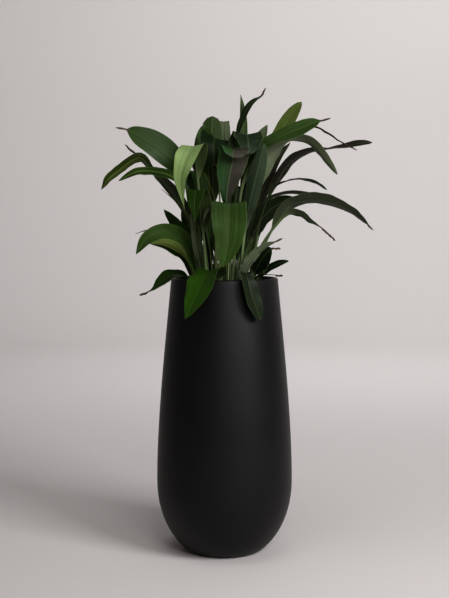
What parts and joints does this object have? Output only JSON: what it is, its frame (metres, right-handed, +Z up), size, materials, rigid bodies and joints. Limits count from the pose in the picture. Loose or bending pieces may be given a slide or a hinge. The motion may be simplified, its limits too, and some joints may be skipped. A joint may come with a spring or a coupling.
{
  "type": "potted cast iron plant",
  "caption": "Tall matte black planter, rounded at its foot and tapering to the rim, filled with soil, with strap-like leaves that stand and arch outwards on thin stalks.",
  "frame": {"origin": "centre of the planter's flat base, on the floor", "axes": "+Z up, -Y towards the front, which the picture shows, +X to the right as seen from the front"},
  "size_m": [0.789, 0.5046, 1.3515],
  "materials": {
    "planter": "matte black with a soft sheen",
    "soil": "loose dark potting soil",
    "leaf": "glossy dark green upper side, paler underside"
  },
  "bodies": {
    "root": {"planter": "planter", "soil": "soil", "leaf_front_1": "leaf", "leaf_front_2": "leaf", "leaf_front_3": "leaf", "leaf_front_4": "leaf", "leaf_front_5": "leaf", "leaf_front_6": "leaf", "leaf_front_7": "leaf", "leaf_front_8": "leaf", "leaf_front_9": "leaf", "leaf_left_1": "leaf", "leaf_left_2": "leaf", "leaf_left_3": "leaf", "leaf_left_4": "leaf", "leaf_left_5": "leaf", "leaf_left_6": "leaf", "leaf_left_7": "leaf", "leaf_left_8": "leaf", "leaf_left_9": "leaf", "leaf_left_10": "leaf", "leaf_left_11": "leaf", "leaf_left_12": "leaf", "leaf_left_13": "leaf", "leaf_right_1": "leaf", "leaf_right_2": "leaf", "leaf_right_3": "leaf", "leaf_right_4": "leaf", "leaf_right_5": "leaf", "leaf_right_6": "leaf", "leaf_right_7": "leaf", "leaf_right_8": "leaf", "leaf_right_9": "leaf", "leaf_right_10": "leaf", "leaf_right_11": "leaf", "leaf_right_12": "leaf", "leaf_right_13": "leaf", "leaf_right_14": "leaf", "leaf_right_15": "leaf", "leaf_right_16": "leaf", "leaf_top_1": "leaf", "leaf_top_2": "leaf", "leaf_top_3": "leaf", "leaf_top_4": "leaf", "leaf_top_5": "leaf", "leaf_top_6": "leaf", "leaf_top_7": "leaf", "leaf_top_8": "leaf", "leaf_top_9": "leaf", "leaf_top_10": "leaf", "leaf_back_1": "leaf", "leaf_back_2": "leaf", "leaf_back_3": "leaf", "leaf_back_4": "leaf", "leaf_back_5": "leaf", "leaf_back_6": "leaf", "leaf_back_7": "leaf", "leaf_back_8": "leaf", "leaf_back_9": "leaf"}
  },
  "joints": []
}
